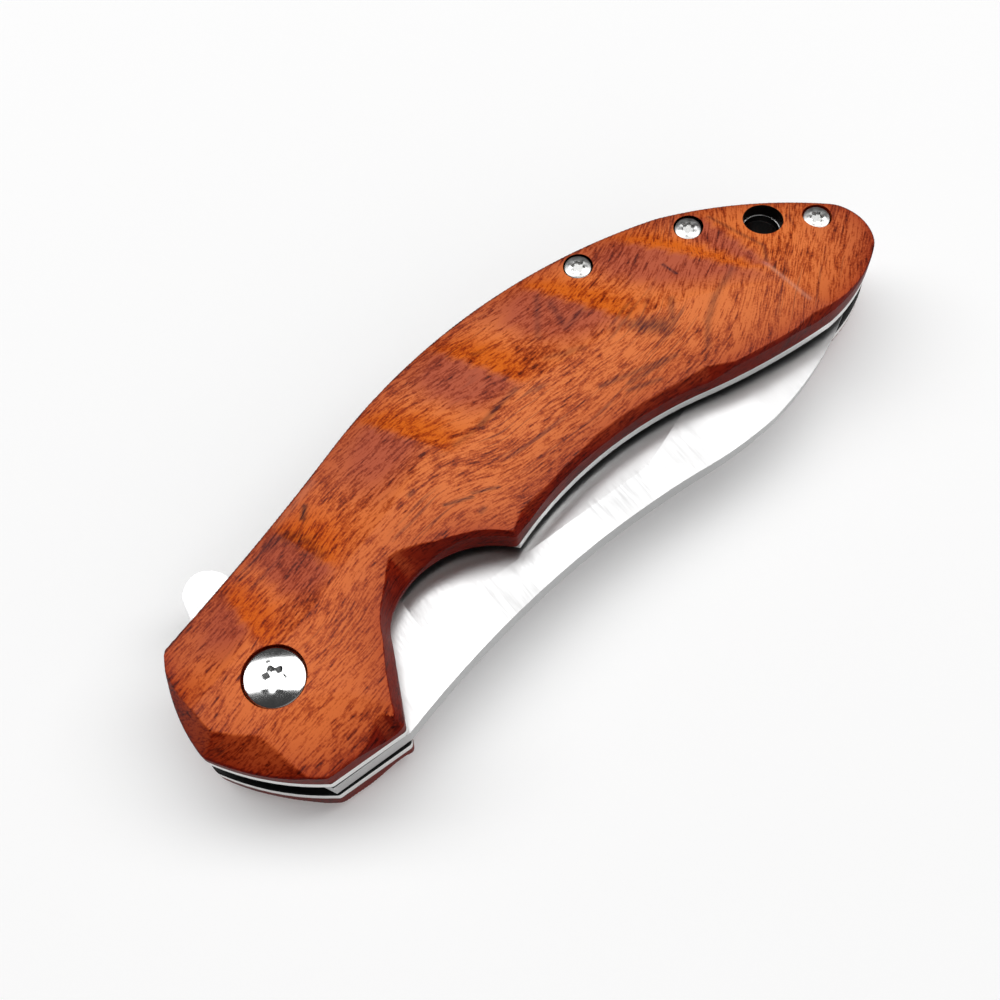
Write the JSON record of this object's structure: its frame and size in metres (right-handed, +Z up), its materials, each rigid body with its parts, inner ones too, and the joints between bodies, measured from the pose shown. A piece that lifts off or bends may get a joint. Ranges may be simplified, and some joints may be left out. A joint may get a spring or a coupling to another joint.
{
  "type": "folding pocket knife",
  "caption": "Folding pocket knife, shown closed: carved wooden scales on steel liners, a flipper blade on a ball-bearing pivot, a sprung lock bar and a lanyard hole at the butt.",
  "frame": {"origin": "under the middle of the closed knife's bounding box, on the surface that the knife lies on", "axes": "+X from the pivot end towards the butt, +Y towards the convex back edge, +Z up through the thickness from the lock side to the show side"},
  "size_m": [0.1236, 0.0452, 0.017],
  "materials": {
    "wood": "satin",
    "liner_steel": "satin",
    "blade_steel": "satin",
    "polished_steel": "gloss",
    "screw_steel": "satin",
    "cage_brass": "satin",
    "black_spacer": "matte"
  },
  "bodies": {
    "handle": {"front_scale": "wood", "rear_scale": "wood", "front_liner": "liner_steel", "lock_liner": "liner_steel", "pivot_barrel": "screw_steel", "front_pivot_screw": "polished_steel", "rear_pivot_screw": "polished_steel", "front_bearing_race": "screw_steel", "rear_bearing_race": "screw_steel", "backspacer": "black_spacer", "spacer_sleeves": "screw_steel", "front_body_screws": "screw_steel", "rear_body_screws": "screw_steel"},
    "blade": {"blade": "blade_steel", "stop_pin": "screw_steel"},
    "front_bearing": {"front_bearing_cage": "cage_brass", "front_bearing_balls": "polished_steel"},
    "rear_bearing": {"rear_bearing_cage": "cage_brass", "rear_bearing_balls": "polished_steel"},
    "lock_bar": {"lock_bar": "liner_steel", "detent_ball": "polished_steel"}
  },
  "joints": [
    {"name": "blade_swing", "type": "hinge", "parent": "handle", "child": "blade", "pos_m": [-0.04843, -0.00725, 0.0085], "axis": [0, 0, -1], "range_deg": [0, 180]},
    {"name": "front_bearing_roll", "type": "hinge", "parent": "handle", "child": "front_bearing", "pos_m": [-0.04843, -0.00725, 0.01], "axis": [0, 0, -1], "range_deg": [0, 90]},
    {"name": "rear_bearing_roll", "type": "hinge", "parent": "handle", "child": "rear_bearing", "pos_m": [-0.04843, -0.00725, 0.007], "axis": [0, 0, -1], "range_deg": [0, 90]},
    {"name": "lock_bar_flex", "type": "hinge", "parent": "handle", "child": "lock_bar", "pos_m": [0.0096, -0.00405, 0.0052], "axis": [0, 1, 0], "range_deg": [0, 1.18]}
  ],
  "couplings": [
    {"joint": "front_bearing_roll", "follows": "blade_swing", "ratio": 0.5},
    {"joint": "rear_bearing_roll", "follows": "blade_swing", "ratio": 0.5},
    {"joint": "lock_bar_flex", "follows": "blade_swing", "ratio": 0.0065556}
  ]
}
